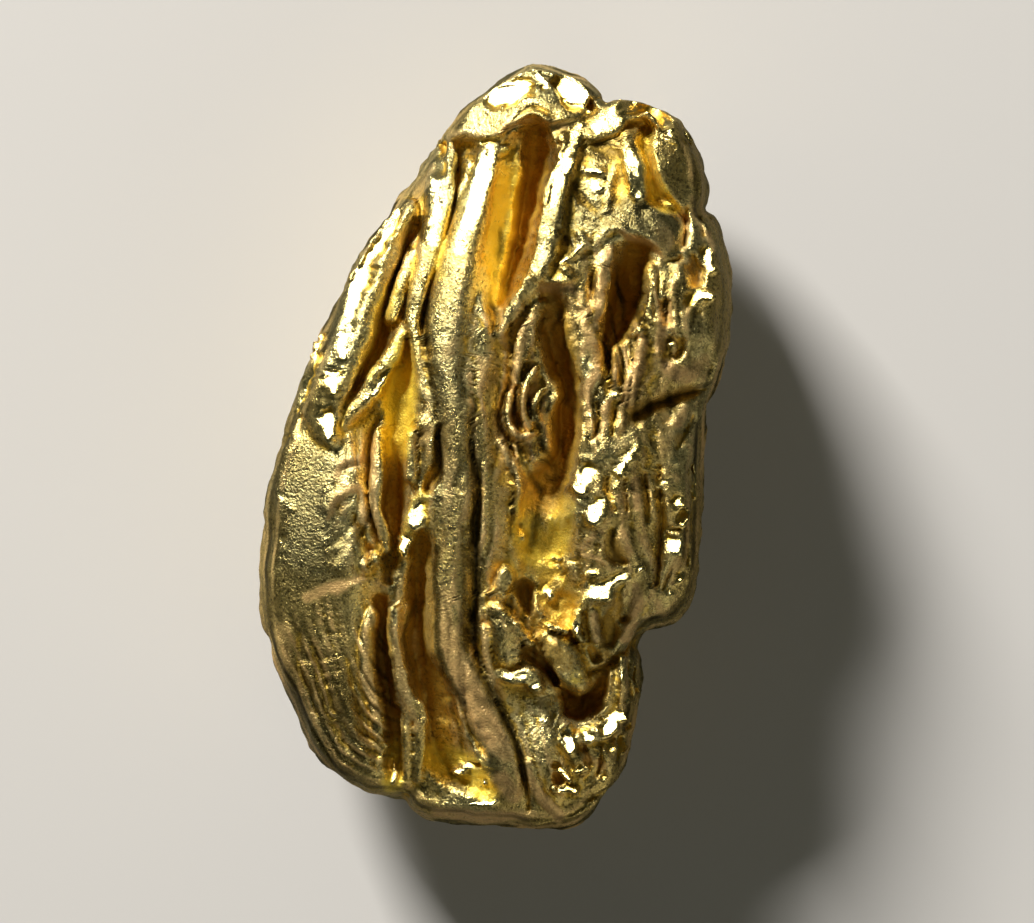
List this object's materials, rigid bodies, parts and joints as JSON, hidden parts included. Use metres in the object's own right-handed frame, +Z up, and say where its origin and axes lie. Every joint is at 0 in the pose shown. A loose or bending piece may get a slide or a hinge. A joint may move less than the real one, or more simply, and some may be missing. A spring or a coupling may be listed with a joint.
{
  "type": "gold nugget",
  "caption": "Water-worn native gold nugget with lengthwise folded ridges, deep pits and a smooth flank, lying on its flat-worn underside.",
  "frame": {"origin": "middle of the footprint box, on the surface that the nugget rests on", "axes": "+Y along the length towards the broad end, +X across towards the crumpled side, +Z up away from the resting surface"},
  "size_m": [0.0116, 0.019, 0.007],
  "materials": {
    "gold": "worn native gold, satin with bright rubbed ridges and amber-brown recesses"
  },
  "bodies": {
    "root": {"nugget": "gold"}
  },
  "joints": []
}
